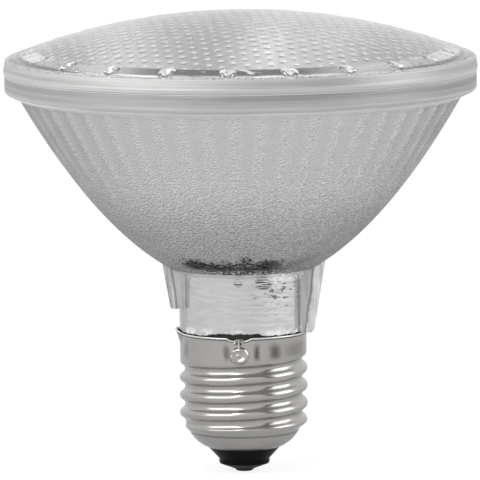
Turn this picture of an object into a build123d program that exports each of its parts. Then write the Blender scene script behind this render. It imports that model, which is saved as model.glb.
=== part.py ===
from build123d import *
from math import ceil, cos, degrees, floor, pi, radians, sin, sqrt
import os

# PAR spotlight bulb: a pressed glass lens and reflector, a halogen capsule and an E27 screw cap.
# Millimetres. The lamp's axis is Z, with the tip of the contact at the origin and the lens on top.

# Centre contact and its solder
TIP_R = 1.8                 # flat of the solder bead that touches the lampholder
TIP_H = 0.55                # height of the bead below the contact disc
CONTACT_R = 5.1
CONTACT_HEIGHT = 1.73       # from the tip to the insulator
CONTACT_RIM = 0.35          # thickness of the disc at its rim
CONTACT_HOLE_R = 1.1

# Insulator
INSULATOR_OVERHANG = 0.1    # how far it stands out beyond the contact disc
INSULATOR_STEP = 0.9
INSULATOR_CONE = 2.47
INSULATOR_DEPTH = 1.8       # how far it fills the shell above the lip
INSULATOR_HOLE_R = 1.0

# Screw shell, with the E27 thread
SHELL_WALL = 0.3
LIP_R = 7.5
CUP_ARC_R = 7.07            # the shell's rounded end
CUP_HEIGHT = 3.2            # plain part of the rounded end, below the thread
THREAD_MAJOR_R = 13.15
THREAD_DEPTH = 1.07
THREAD_PITCH = 3.629
THREAD_LENGTH = 16.8
THREAD_LEAD_IN = 2.7
THREAD_FIRST_CREST = 2.13   # height of the first crest at +X above the thread's start
GROOVE_TURNS = 3.18         # from the first crest at +X to the end of the groove under the skirt
GROOVE_FADE = 0.17          # part of a turn over which the groove's end fills up
THREAD_STEPS = 5            # cross-sections in one turn
SECTION_POINTS = 24         # points round one cross-section
SKIRT_INSET = 0.15          # skirt radius below the thread's crest
SKIRT_HEIGHT = 3.9
BORE_STEP = 0.3             # start of the skirt's wider bore, below the skirt
FLARE = 0.2                 # how far the rim opens out
FLARE_HEIGHT = 0.8
NOTCH_R = 5.0               # dip in the rim, where the return wire comes out
NOTCH_DEPTH = 0.7
TAB_ANGLE = 26.0            # width of the bent tab, in degrees round the rim
TAB_SLOT = 2.2              # depth of the cut rim behind the tab
TAB_HEIGHT = 2.7
TAB_LEAN = 0.9              # how far the tab's end is bent out

# Side solder and wires
SOLDER_ANGLE = -94.0        # seen from above, from +X
BEAD_R = 1.9
BEAD_PROUD = 0.65           # how far the bead stands out of the skirt
BEAD_HEIGHT = 1.5           # centre of the bead above the skirt's lower end
WIRE_R = 0.2
WIRE_CLEARANCE = 0.1        # between the return wire and the rim that it crosses
LIVE_WIRE_R = 0.35
WIRE_DROP = 1.5             # straight run of each wire below its pin
WIRE_RISE = 4.0             # straight run of the live wire above the insulator

# Reflector
LAMP_DIAMETER = 97.0
LENS_OVERHANG = 0.25        # lens beyond the flange
FLANGE_WIDTH = 3.38         # flange beyond the bowl
FLANGE_SLOPE = 2.6          # rise of the flange's underside
FLANGE_WALL = 2.7
FLANGE_CORNER = 0.6
FOCAL_LENGTH = 13.0         # outer surface of the bowl
BOWL_WALL = 2.4
FLUTE_COUNT = 51
FLUTE_DEPTH = 0.22
FLUTE_RUN = 18.7            # height of the fluted band below the flange
FLUTE_STEPS = 3             # cross-sections over the fluted band
MIRROR_STEPS = 6            # straight stretches of the mirror's profile
NECK_LENGTH = 11.53
NECK_GAP = 0.7              # between the shell's rim and the neck's lower edge
NECK_SHOULDER = 0.85        # neck radius beyond the spigot
NECK_CORNER = 0.7
NECK_WALL = 3.05
FLOOR_THICKNESS = 2.5
SPIGOT_GAP = 0.5            # between the spigot's end and the step in the shell's bore
CEMENT_GAP = 0.5            # between spigot and skirt
CEMENT_RECESS = 0.3         # below the flared rim
CEMENT_OPENING = 6.0        # degrees left open for the return wire
LUG_TAPER = 0.17            # inward lean of a lug's face, mm for each mm of drop
LUG_WIDTH = 11.0
LUG_CORNER = 0.8
LONG_LUG = 11.7             # length of the lug at +X, below the foot of the bowl
LONG_LUG_REACH = 3.45       # how far it stands out of the neck, at the foot of the bowl
SHORT_LUG = 6.9             # the same sizes of the lug at -X
SHORT_LUG_REACH = 2.9

# Lens
SEAL_THICKNESS = 0.3
SEAL_RECESS = 0.9           # seal inside the flange's edge
SEAL_WIDTH = 2.5
LENS_RIM_HEIGHT = 3.08
LENS_RIM_WIDTH = 4.1
LENS_DRAFT = 0.4            # taper of the rim's wall
LENS_FOOT = 0.8             # height of the rounded foot of the rim's wall
LENS_CORNER = 0.7
DOME_R = 130.0
LENS_THICKNESS = 3.2
LENS_STEPS = 4              # straight stretches of the lens's inner face
PIP_COUNT = 22
PIP_R = 1.375
PIP_LENGTH = 3.4
PIP_ROOT = 1.0              # length of pip within the lens's rim
PIP_DROP = 0.9              # how far a pip stands out of the lens's inner face
PIP_PHASE = -93.4           # first pip, in degrees from +X

# Halogen capsule
CAPSULE_R = 6.2
CAPSULE_WALL = 1.0
CAPSULE_BELOW = 9.0         # from the focus to the pinch
CAPSULE_ABOVE = 13.0        # from the focus to the crown
CROWN_CONE = 3.6
EXHAUST_TIP_R = 1.6
EXHAUST_TIP_H = 2.0
EXHAUST_TIP_CONE = 0.8
PINCH_WIDTH = 11.5
PINCH_THICKNESS = 3.6
PINCH_HEIGHT = 10.0
PINCH_CORNER = 0.8
PIN_R = 0.5
PIN_SPACING = 6.4
PIN_GRIP = 2.5              # length of pin inside the pinch
PIN_TAIL = 3.0              # length of pin below the spigot
FERRULE_WALL = 1.0
FERRULE_FLANGE = 0.8
FERRULE_FLANGE_T = 0.5
FOIL_WIDTH = 2.2
FOIL_THICKNESS = 0.12
FOIL_LENGTH = 5.2
FILAMENT_R = 0.8
FILAMENT_LENGTH = 9.0
LEAD_R = 0.3
LEAD_DROP = 1.2             # lead beyond each end of the filament

# Heights along the axis, from the contact up
Z_INSULATOR = CONTACT_HEIGHT
Z_LIP = Z_INSULATOR + INSULATOR_STEP + INSULATOR_CONE
Z_THREAD = Z_LIP + CUP_HEIGHT
Z_SKIRT = Z_THREAD + THREAD_LENGTH
Z_RIM = Z_SKIRT + SKIRT_HEIGHT
Z_STEP = Z_SKIRT - BORE_STEP
Z_SPIGOT = Z_STEP + SPIGOT_GAP
Z_FLOOR = Z_SPIGOT + FLOOR_THICKNESS
Z_NECK = Z_RIM + NECK_GAP
Z_BOWL = Z_NECK + NECK_LENGTH

# Radii, from the thread out
THREAD_MINOR_R = THREAD_MAJOR_R - THREAD_DEPTH
BORE_R = THREAD_MINOR_R - SHELL_WALL
SKIRT_R = THREAD_MAJOR_R - SKIRT_INSET
SKIRT_BORE_R = SKIRT_R - SHELL_WALL
SPIGOT_R = SKIRT_BORE_R - CEMENT_GAP
NECK_R = SPIGOT_R + NECK_SHOULDER
NECK_BORE_R = NECK_R - NECK_WALL
INSULATOR_R = CONTACT_R + INSULATOR_OVERHANG
LENS_R = LAMP_DIAMETER / 2
FLANGE_R = LENS_R - LENS_OVERHANG
BOWL_R = FLANGE_R - FLANGE_WIDTH

# The bowl is a paraboloid outside and a confocal one inside
Z_VERTEX = Z_BOWL - NECK_R**2 / (4 * FOCAL_LENGTH)
Z_FOCUS = Z_VERTEX + FOCAL_LENGTH
MIRROR_FOCAL = FOCAL_LENGTH - BOWL_WALL / sqrt(2)
Z_MIRROR = Z_FOCUS - MIRROR_FOCAL
Z_BOWL_TOP = Z_VERTEX + BOWL_R**2 / (4 * FOCAL_LENGTH)
Z_FLUTES = Z_BOWL_TOP - FLUTE_RUN
Z_FLANGE = Z_BOWL_TOP + FLANGE_SLOPE + FLANGE_WALL
Z_LENS = Z_FLANGE + SEAL_THICKNESS
Z_DOME_EDGE = Z_LENS + LENS_RIM_HEIGHT
Z_DOME_CENTRE = Z_DOME_EDGE - sqrt(DOME_R**2 - LENS_R**2)

# The shell's rounded end is an arc tangent to the thread's root
CUP_CENTRE_R = THREAD_MINOR_R - CUP_ARC_R
Z_CUP_CENTRE = Z_LIP + sqrt(CUP_ARC_R**2 - (LIP_R - CUP_CENTRE_R) ** 2)

# Capsule heights
Z_PINCH_TOP = Z_FOCUS - CAPSULE_BELOW
Z_PINCH = Z_PINCH_TOP - PINCH_HEIGHT
Z_CROWN = Z_FOCUS + CAPSULE_ABOVE
Z_FOIL = Z_PINCH + PIN_GRIP
Z_LEADS = Z_FOIL + FOIL_LENGTH
Z_PIN_END = Z_SPIGOT - PIN_TAIL


def at(r, z):
    """Point of a half section, at radius r and height z."""
    return (r, 0, z)


def turned(*edges):
    """Solid of revolution from the closed half section that the edges bound."""
    return revolve(Face(Wire(edges)), Axis.Z)


def chain(*points):
    """Straight edges from point to point."""
    return [Line(a, b).edge() for a, b in zip(points, points[1:])]


def tube(outer, inner, low, high):
    """Ring or bush between two heights."""
    body = Cylinder(outer, high - low) - Cylinder(inner, high - low)
    return Pos(0, 0, (low + high) / 2) * body


def rod(radius, low, high, x=0.0):
    """Upright round bar."""
    return Pos(x, 0, (low + high) / 2) * Cylinder(radius, high - low)


def ring_edge(body, z):
    """Round edge of a turned body that is nearest to a height."""
    return min((e for e in body.edges() if e.is_closed), key=lambda e: abs(e.center().Z - z))


def polar(radius, angle, z):
    """Point at a radius and an angle in degrees from +X."""
    return (radius * cos(radians(angle)), radius * sin(radians(angle)), z)


def smooth(value, start, length):
    """Eased step from 0 to 1."""
    t = min(max((value - start) / length, 0.0), 1.0)
    return t * t * (3 - 2 * t)


def parabola(focal, vertex, r_start, r_end):
    """Arc of the parabola r*r = 4 * focal * (z - vertex), as an exact quadratic curve."""
    r_mid = (r_start + r_end) / 2
    z_start = vertex + r_start**2 / (4 * focal)
    z_mid = z_start + r_start * (r_mid - r_start) / (2 * focal)
    z_end = vertex + r_end**2 / (4 * focal)
    return Bezier(at(r_start, z_start), at(r_mid, z_mid), at(r_end, z_end)).edge()


def parabola_points(focal, vertex, r_start, r_end, count):
    """Points of the same parabola, evenly spaced in radius."""
    radii = [r_start + (r_end - r_start) * k / count for k in range(count + 1)]
    return [at(r, vertex + r**2 / (4 * focal)) for r in radii]


def parabola_r(focal, vertex, z):
    """Radius of a paraboloid at a height."""
    return sqrt(4 * focal * (z - vertex))


def bent_wire(radius, points):
    """Round wire along straight runs, bent sharply at each point."""
    path = Polyline(*points)
    start = Plane(path @ 0, z_dir=path % 0)
    return sweep(start * Circle(radius), path=path, transition=Transition.RIGHT)


# Screw cap


def thread_height(phase):
    """Height of the thread over its root: equal crest and root arcs, tangent to each other."""
    arc = (THREAD_PITCH**2 / 4 + THREAD_DEPTH**2) / (4 * THREAD_DEPTH)
    from_crest = abs(phase - floor(phase + 0.5)) * THREAD_PITCH
    if from_crest <= THREAD_PITCH / 4:
        return THREAD_DEPTH - arc + sqrt(arc**2 - from_crest**2)
    return arc - sqrt(arc**2 - (THREAD_PITCH / 2 - from_crest) ** 2)


def shell_radius(angle, z):
    """Outside of the screw shell: rounded end, right-hand thread, then the skirt over the last groove."""
    below = max(Z_CUP_CENTRE - z, 0.0)
    cup = CUP_CENTRE_R + sqrt(CUP_ARC_R**2 - below**2)
    turns = (z - Z_THREAD - THREAD_FIRST_CREST) / THREAD_PITCH
    past_end = (angle / (2 * pi) - GROOVE_TURNS) % 1.0
    over_groove = turns - GROOVE_TURNS + 0.5 - past_end
    filled = smooth(past_end, 1 - GROOVE_FADE, GROOVE_FADE)
    height = thread_height(turns - angle / (2 * pi))
    if over_groove > 0.5:
        height = THREAD_DEPTH
    elif over_groove > -0.5:
        height = height + (THREAD_DEPTH - height) * filled
    inset = SKIRT_INSET * smooth(over_groove + filled, 0.25, 0.25)
    return cup + (height - inset) * smooth(z, Z_THREAD, THREAD_LEAD_IN)


def shell_section(z):
    """Closed cross-section of the shell at a height, round outside the threaded stretch."""
    if z <= Z_THREAD or z >= Z_SKIRT:
        return Wire.make_circle(shell_radius(0, z), Plane(origin=(0, 0, z)))
    angles = [2 * pi * k / SECTION_POINTS for k in range(SECTION_POINTS)]
    points = [polar(shell_radius(a, z), degrees(a), z) for a in angles]
    return Wire([Edge.make_spline([Vector(*p) for p in points], periodic=True)])


def threaded_body():
    """Rounded end and thread, as a stack of cross-sections."""
    length = Z_SKIRT - Z_LIP
    count = ceil(length / THREAD_PITCH * THREAD_STEPS)
    heights = [Z_LIP + length * k / count for k in range(count)] + [Z_SKIRT]
    return Solid.make_loft([shell_section(z) for z in heights], ruled=True)


def shell_skirt():
    """Solid skirt with its flared rim."""
    flare_foot = at(SKIRT_R, Z_RIM - FLARE_HEIGHT)
    rim = at(SKIRT_R + FLARE, Z_RIM)
    outline = (at(0, Z_SKIRT), at(SKIRT_R, Z_SKIRT), flare_foot, rim, at(0, Z_RIM), at(0, Z_SKIRT))
    return turned(*chain(*outline))


def cup_bore():
    """Ends of the cone inside the rounded end: at the lip, and at the insulator's top."""
    inner = CUP_ARC_R - SHELL_WALL
    z_foot = Z_CUP_CENTRE - sqrt(inner**2 - (LIP_R - CUP_CENTRE_R) ** 2)
    z_top = Z_LIP + INSULATOR_DEPTH
    r_top = CUP_CENTRE_R + sqrt(inner**2 - (Z_CUP_CENTRE - z_top) ** 2)
    return at(LIP_R, z_foot), at(r_top, z_top)


def shell_hollow():
    """Inside of the shell: coned end, plain bore behind the thread, wider bore in the skirt."""
    flare_foot = at(SKIRT_BORE_R, Z_RIM - FLARE_HEIGHT)
    rim = at(SKIRT_BORE_R + FLARE, Z_RIM)
    end = (at(0, Z_LIP), at(LIP_R, Z_LIP), *cup_bore(), at(BORE_R, Z_CUP_CENTRE))
    wall = (at(BORE_R, Z_STEP), at(SKIRT_BORE_R, Z_STEP), flare_foot, rim, at(0, Z_RIM))
    return turned(*chain(*end, *wall, at(0, Z_LIP)))


def rim_tab():
    """Tongue of the rim at -X, bent outwards."""
    z_foot = Z_RIM - TAB_SLOT
    z_end = z_foot + TAB_HEIGHT
    outline = chain(
        at(SKIRT_BORE_R, z_foot),
        at(SKIRT_R, z_foot),
        at(SKIRT_R + TAB_LEAN, z_end),
        at(SKIRT_BORE_R + TAB_LEAN, z_end),
        at(SKIRT_BORE_R, z_foot),
    )
    tongue = revolve(Face(Wire(outline)), Axis.Z, TAB_ANGLE)
    reach = SKIRT_R + FLARE + SHELL_WALL
    cut = chain(at(0, z_foot), at(reach, z_foot), at(reach, Z_RIM), at(0, Z_RIM), at(0, z_foot))
    slot = Face(Wire(cut))
    turn = Rot(0, 0, 180 - TAB_ANGLE / 2)
    return turn * tongue, turn * revolve(slot, Axis.Z, TAB_ANGLE)


def rim_notch():
    """Round cutter for the dip in the rim, across the wall at the side solder."""
    z_centre = Z_RIM - NOTCH_DEPTH + NOTCH_R
    cutter = Rot(0, 90, 0) * Cylinder(NOTCH_R, NOTCH_R)
    return Rot(0, 0, SOLDER_ANGLE) * Pos(SKIRT_R, 0, z_centre) * cutter


def base_shell():
    tongue, slot = rim_tab()
    body = threaded_body() + shell_skirt()
    body = body - shell_hollow() - slot - rim_notch()
    return body + tongue


def insulator():
    foot, top = cup_bore()
    outline = (
        at(INSULATOR_HOLE_R, Z_INSULATOR),
        at(INSULATOR_R, Z_INSULATOR),
        at(INSULATOR_R, Z_INSULATOR + INSULATOR_STEP),
        at(LIP_R, Z_LIP),
        foot,
        top,
        at(INSULATOR_HOLE_R, Z_LIP + INSULATOR_DEPTH),
        at(INSULATOR_HOLE_R, Z_INSULATOR),
    )
    return turned(*chain(*outline))


def centre_contact():
    outline = (
        at(CONTACT_HOLE_R, TIP_H),
        at(TIP_R + TIP_H, TIP_H),
        at(CONTACT_R, Z_INSULATOR - CONTACT_RIM),
        at(CONTACT_R, Z_INSULATOR),
        at(CONTACT_HOLE_R, Z_INSULATOR),
        at(CONTACT_HOLE_R, TIP_H),
    )
    return turned(*chain(*outline))


def contact_solder():
    """Bead over the disc's hole, with a shank up to the insulator and the wire's end inside it."""
    outline = (
        at(0, 0),
        at(TIP_R, 0),
        at(TIP_R + TIP_H, TIP_H),
        at(CONTACT_HOLE_R, TIP_H),
        at(CONTACT_HOLE_R, Z_INSULATOR),
        at(0, Z_INSULATOR),
        at(0, 0),
    )
    return turned(*chain(*outline)) - live_wire()


def live_wire():
    """From the live pin down the axis into the contact's solder."""
    x = -PIN_SPACING / 2
    z_turn = Z_LIP + INSULATOR_DEPTH + WIRE_RISE
    points = [(x, 0, Z_PIN_END), (x, 0, Z_PIN_END - WIRE_DROP), (0, 0, z_turn), (0, 0, TIP_H)]
    return bent_wire(LIVE_WIRE_R, points)


def return_wire():
    """From the return pin, up past the spigot, over the notch in the rim and down into the side solder."""
    x = PIN_SPACING / 2
    up_r = (SPIGOT_R + SKIRT_BORE_R) / 2
    out_r = SKIRT_R + WIRE_R + WIRE_CLEARANCE
    z_low = Z_STEP + SPIGOT_GAP / 2
    z_over = Z_RIM - NOTCH_DEPTH + WIRE_R + WIRE_CLEARANCE
    z_bead = Z_SKIRT + BEAD_HEIGHT
    points = [
        (x, 0, Z_PIN_END),
        (x, 0, Z_PIN_END - WIRE_DROP),
        polar(NECK_BORE_R, SOLDER_ANGLE, z_low),
        polar(up_r, SOLDER_ANGLE, z_low),
        polar(up_r, SOLDER_ANGLE, z_over),
        polar(out_r, SOLDER_ANGLE, z_over),
        polar(out_r, SOLDER_ANGLE, z_bead),
    ]
    return bent_wire(WIRE_R, points)


def side_solder():
    """Bead on the outside of the skirt, round the end of the return wire."""
    centre = SKIRT_R + BEAD_PROUD - BEAD_R
    bead = Rot(0, 0, SOLDER_ANGLE) * Pos(centre, 0, Z_SKIRT + BEAD_HEIGHT) * Sphere(BEAD_R)
    return bead - rod(SKIRT_R, Z_SKIRT - BEAD_R, Z_RIM) - return_wire()


def base_cement():
    """Ring between spigot and skirt, open where the return wire passes."""
    z_top = Z_RIM - FLARE_HEIGHT - CEMENT_RECESS
    outline = chain(at(SPIGOT_R, Z_SPIGOT), at(SKIRT_BORE_R, Z_SPIGOT), at(SKIRT_BORE_R, z_top),
                    at(SPIGOT_R, z_top), at(SPIGOT_R, Z_SPIGOT))
    ring = revolve(Face(Wire(outline)), Axis.Z, 360 - CEMENT_OPENING)
    return Rot(0, 0, SOLDER_ANGLE + CEMENT_OPENING / 2) * ring


# Reflector


def bowl_foot():
    """Spigot, neck and the plain part of the bowl, solid."""
    bowl_r = parabola_r(FOCAL_LENGTH, Z_VERTEX, Z_FLUTES)
    curve = parabola(FOCAL_LENGTH, Z_VERTEX, NECK_R, bowl_r)
    spigot = (at(0, Z_SPIGOT), at(SPIGOT_R, Z_SPIGOT), at(SPIGOT_R, Z_NECK))
    neck = (at(NECK_R - NECK_CORNER, Z_NECK), at(NECK_R, Z_NECK + NECK_CORNER), curve @ 0)
    return turned(*chain(*spigot, *neck), curve, *chain(curve @ 1, at(0, Z_FLUTES), at(0, Z_SPIGOT)))


def flute_ring(share):
    """Cross-section of the fluted band: a ring of shallow hollows between ridges on the paraboloid."""
    z = Z_FLUTES + FLUTE_RUN * share
    ridge_r = parabola_r(FOCAL_LENGTH, Z_VERTEX, z)
    hollow_r = ridge_r - FLUTE_DEPTH * share
    step = 360 / FLUTE_COUNT
    edges = []
    for k in range(FLUTE_COUNT):
        start = Vector(*polar(ridge_r, k * step, z))
        middle = Vector(*polar(hollow_r, (k + 0.5) * step, z))
        end = Vector(*polar(ridge_r, (k + 1) * step, z))
        if share == 0:
            edges.append(ThreePointArc(start, middle, end).edge())
        else:
            control = middle * 2 - (start + end) / 2
            edges.append(Bezier(start, control, end).edge())
    return Wire(edges)


def fluted_band():
    return Solid.make_loft([flute_ring(k / FLUTE_STEPS) for k in range(FLUTE_STEPS + 1)], ruled=True)


def flange():
    """Solid ring at the bowl's mouth, with a sloping underside and a bevelled edge."""
    z_edge = Z_BOWL_TOP + FLANGE_SLOPE
    outline = (at(0, Z_BOWL_TOP), at(BOWL_R, Z_BOWL_TOP), at(FLANGE_R, z_edge), at(FLANGE_R, Z_FLANGE),
               at(0, Z_FLANGE), at(0, Z_BOWL_TOP))
    body = turned(*chain(*outline))
    return chamfer(ring_edge(body, z_edge), FLANGE_CORNER)


def neck_lug(side, length, reach):
    """Tapered wing on the side of the neck, running up into the bowl."""
    z_low = Z_BOWL - length
    z_high = Z_BOWL + reach
    r_low = NECK_R + reach - LUG_TAPER * length
    r_high = NECK_R + reach + LUG_TAPER * reach
    root = NECK_BORE_R + NECK_WALL / 2
    outline = (at(root, z_low), at(r_low, z_low), at(r_high, z_high), at(root, z_high), at(root, z_low))
    wing = extrude(Face(Wire(chain(*outline))), LUG_WIDTH / 2, dir=(0, 1, 0), both=True)
    wing = fillet(wing.faces().sort_by(Axis.X)[-1].edges(), LUG_CORNER)
    return Rot(0, 0, 0 if side > 0 else 180) * wing


def reflector_hollow():
    """Mirror bowl and the bore of the neck down to its floor."""
    mouth_r = parabola_r(MIRROR_FOCAL, Z_MIRROR, Z_FLANGE)
    curve = parabola_points(MIRROR_FOCAL, Z_MIRROR, NECK_BORE_R, mouth_r, MIRROR_STEPS)
    floor_edge = (at(0, Z_FLOOR), at(NECK_BORE_R, Z_FLOOR))
    return turned(*chain(*floor_edge, *curve, at(0, Z_FLANGE), at(0, Z_FLOOR)))


def reflector():
    body = bowl_foot() + fluted_band() + flange()
    body = body + neck_lug(1, LONG_LUG, LONG_LUG_REACH) + neck_lug(-1, SHORT_LUG, SHORT_LUG_REACH)
    body = body - reflector_hollow()
    for side in (-1, 1):
        body = body - rod(PIN_R + FERRULE_WALL, Z_SPIGOT, Z_FLOOR, side * PIN_SPACING / 2)
    return body


# Lens


def lens_seal():
    outer = FLANGE_R - SEAL_RECESS
    return tube(outer, outer - SEAL_WIDTH, Z_FLANGE, Z_LENS)


def dome_z(radius, r):
    """Height of a dome of the given radius about the lens's centre."""
    return Z_DOME_CENTRE + sqrt(radius**2 - r**2)


def lens_blank():
    """Outside of the lens, solid: rim wall with a rounded foot and draft, then the dome."""
    top_r = LENS_R - LENS_DRAFT
    edge = at(top_r, dome_z(DOME_R, top_r))
    crown = at(0, Z_DOME_CENTRE + DOME_R)
    half_r = LENS_R / 2
    dome = ThreePointArc(edge, at(half_r, dome_z(DOME_R, half_r)), crown).edge()
    wall = chain(at(0, Z_LENS), at(FLANGE_R, Z_LENS), at(LENS_R, Z_LENS + LENS_FOOT), edge)
    body = turned(*wall, dome, *chain(crown, at(0, Z_LENS)))
    return chamfer(ring_edge(body, edge[2]), LENS_CORNER)


def lens_pip(angle):
    """Short radial rib under the edge of the dome, sloping with it."""
    inner = DOME_R - LENS_THICKNESS
    lift = PIP_R - PIP_DROP
    outer_r = LENS_R - LENS_RIM_WIDTH + PIP_ROOT
    inner_r = LENS_R - LENS_RIM_WIDTH - PIP_LENGTH
    start = Vector(*at(inner_r, dome_z(inner, inner_r) + lift))
    end = Vector(*at(outer_r, dome_z(inner, outer_r) + lift))
    axis = end - start
    rib = extrude(Plane(start, z_dir=axis) * Circle(PIP_R), axis.length)
    return Rot(0, 0, angle) * rib


def lens_hollow():
    """Underside of the dome, within the rim's bore."""
    inner = DOME_R - LENS_THICKNESS
    radii = [LENS_R * (1 - k / LENS_STEPS) for k in range(LENS_STEPS + 1)]
    underside = [at(r, dome_z(inner, r)) for r in radii]
    z_low = Z_LENS - LENS_THICKNESS
    below = turned(*chain(at(0, z_low), at(LENS_R, z_low), *underside, at(0, z_low)))
    return below & rod(LENS_R - LENS_RIM_WIDTH, Z_LENS, Z_DOME_CENTRE + DOME_R)


def lens():
    pips = [lens_pip(PIP_PHASE + 360 * k / PIP_COUNT) for k in range(PIP_COUNT)]
    return lens_blank() - lens_hollow() + pips


# Halogen capsule


def shouldered_bar(radius, low, high, shoulder):
    """Round bar whose top end is coned in."""
    bar = rod(radius, low, high)
    return chamfer(ring_edge(bar, high), shoulder)


def pin(side):
    return rod(PIN_R, Z_PIN_END, Z_FOIL, side * PIN_SPACING / 2)


def foil(side):
    box = Box(FOIL_WIDTH, FOIL_THICKNESS, FOIL_LENGTH)
    return Pos(side * PIN_SPACING / 2, 0, Z_FOIL + FOIL_LENGTH / 2) * box


def filament():
    """Coiled coil, as its outer form."""
    half = FILAMENT_LENGTH / 2
    return rod(FILAMENT_R, Z_FOCUS - half, Z_FOCUS + half)


def filament_lead(side):
    """Stiff wire from a foil to one end of the filament: the lower end on -X, the upper end on +X."""
    x = side * PIN_SPACING / 2
    half = FILAMENT_LENGTH / 2
    z_end = Z_FOCUS + side * half
    z_turn = z_end + side * LEAD_DROP
    return bent_wire(LEAD_R, [(x, 0, Z_LEADS), (x, 0, z_turn), (0, 0, z_turn), (0, 0, z_end)])


def capsule_bulb():
    """Quartz tube with a coned crown, an exhaust tip and a flat pinch that seals the foils."""
    body = shouldered_bar(CAPSULE_R, Z_PINCH_TOP - CAPSULE_WALL, Z_CROWN, CROWN_CONE)
    z_inside = Z_CROWN - CAPSULE_WALL
    tip = shouldered_bar(EXHAUST_TIP_R, z_inside, Z_CROWN + EXHAUST_TIP_H, EXHAUST_TIP_CONE)
    pinch = Pos(0, 0, (Z_PINCH + Z_PINCH_TOP) / 2) * Box(PINCH_WIDTH, PINCH_THICKNESS, PINCH_HEIGHT)
    pinch = chamfer(pinch.edges().filter_by(Axis.Z), PINCH_CORNER)
    cavity = shouldered_bar(CAPSULE_R - CAPSULE_WALL, Z_PINCH_TOP, z_inside, CROWN_CONE - CAPSULE_WALL / 2)
    body = body + tip + pinch - cavity
    for side in (-1, 1):
        body = body - pin(side) - foil(side) - filament_lead(side)
    return body


def ferrule(side):
    """Flanged metal eyelet in the floor of the neck, round a pin."""
    outer = PIN_R + FERRULE_WALL
    sleeve = tube(outer, PIN_R, Z_SPIGOT, Z_FLOOR)
    collar = tube(outer + FERRULE_FLANGE, PIN_R, Z_FLOOR, Z_FLOOR + FERRULE_FLANGE_T)
    return Pos(side * PIN_SPACING / 2, 0, 0) * (sleeve + collar)


NODES = {
    "lens": lens(),
    "lens_seal": lens_seal(),
    "reflector": reflector(),
    "base_shell": base_shell(),
    "base_cement": base_cement(),
    "side_solder": side_solder(),
    "insulator": insulator(),
    "centre_contact": centre_contact(),
    "contact_solder": contact_solder(),
    "capsule_bulb": capsule_bulb(),
    "filament": filament(),
    "filament_lead_short": filament_lead(-1),
    "filament_lead_tall": filament_lead(1),
    "foil_live": foil(-1),
    "foil_return": foil(1),
    "pin_live": pin(-1),
    "pin_return": pin(1),
    "ferrule_live": ferrule(-1),
    "ferrule_return": ferrule(1),
    "live_wire": live_wire(),
    "return_wire": return_wire(),
}

os.makedirs("parts", exist_ok=True)
for name, shape in NODES.items():
    export_step(shape, f"parts/{name}.step")
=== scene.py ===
import math

import bmesh
import bpy
import numpy as np
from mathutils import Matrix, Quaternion, Vector


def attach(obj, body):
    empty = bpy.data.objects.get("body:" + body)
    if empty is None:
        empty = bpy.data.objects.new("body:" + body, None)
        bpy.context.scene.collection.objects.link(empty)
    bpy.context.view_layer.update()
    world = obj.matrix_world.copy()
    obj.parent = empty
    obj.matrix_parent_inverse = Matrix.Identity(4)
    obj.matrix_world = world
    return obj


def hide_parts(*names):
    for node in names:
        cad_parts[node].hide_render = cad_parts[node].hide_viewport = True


# PAR spotlight bulb: glass lens and bowl, nickel screw cap, black insulator.
# Sizes are millimetres in the part's frame and become metres when a mesh is made. Named angles are degrees.
# Inside a material, places on the part are metres.

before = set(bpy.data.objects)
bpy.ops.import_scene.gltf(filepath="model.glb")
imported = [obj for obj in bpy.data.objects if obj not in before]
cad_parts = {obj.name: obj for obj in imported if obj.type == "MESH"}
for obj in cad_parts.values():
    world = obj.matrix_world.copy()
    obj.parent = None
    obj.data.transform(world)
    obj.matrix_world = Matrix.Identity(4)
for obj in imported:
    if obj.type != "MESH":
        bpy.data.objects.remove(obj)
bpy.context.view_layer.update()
MM = 0.001
TURN = 2 * math.pi

# Screw cap
TIP_R, TIP_H, CONTACT_R, CONTACT_RIM = 1.6, 0.45, 5.1, 0.12
INSULATOR_R, LIP_R = 5.2, 7.5
Z_INSULATOR, INSULATOR_STEP, Z_LIP, INSULATOR_DEPTH = 1.73, 0.9, 5.1, 1.8
SHELL_WALL, SHELL_SIDES, THREAD_ROWS, THREAD_BORE_ROWS = 0.3, 288, 150, 120
CUP_ARC_R, CUP_CENTRE_R, Z_CUP_CENTRE = 7.07, 5.01, 11.717
THREAD_DEPTH, THREAD_PITCH, THREAD_LEAD_IN, FIRST_CREST = 1.07, 3.629, 2.1, 2.13
GROOVE_TURNS, GROOVE_FADE = 3.18, 0.17
Z_THREAD, Z_SKIRT, Z_RIM = 8.3, 25.1, 29.0
SKIRT_R, SKIRT_INSET, FLARE, FLARE_HEIGHT = 13.0, 0.15, 0.2, 0.8
# Shares of the skirt's height where its rows start and end, and how many there are outside and inside
SKIRT_START, BEAD_START, SKIRT_ROWS, SKIRT_BORE_ROWS = 0.04, 0.9, 18, 12
NOTCH_R, NOTCH_DEPTH = 5.0, 0.7
TAB_ANGLE, TAB_BLEND, TAB_SLOT, TAB_HEIGHT, TAB_LEAN = 26.0, 2.0, 2.2, 2.7, 0.9
# Rolled edge of the rim: (share of the skirt's height, how far out)
RIM_BEAD = (0.925, -0.04), (0.94, -0.02), (0.955, 0.04), (0.975, 0.06), (1.0, 0.05)
SOLDER_ANGLE, SOLDER_SINK, SOLDER_BACK = -94.0, 0.05, -0.4
# Solder on the skirt and over the rim's dip: (height, half width, half height, stand-out, dish, lumps)
SOLDER_BEADS = (25.5, 2.05, 1.9, 0.95, 0.5, 0.1), (28.3, 1.2, 0.75, 0.35, 0.0, 0.24)

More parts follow.
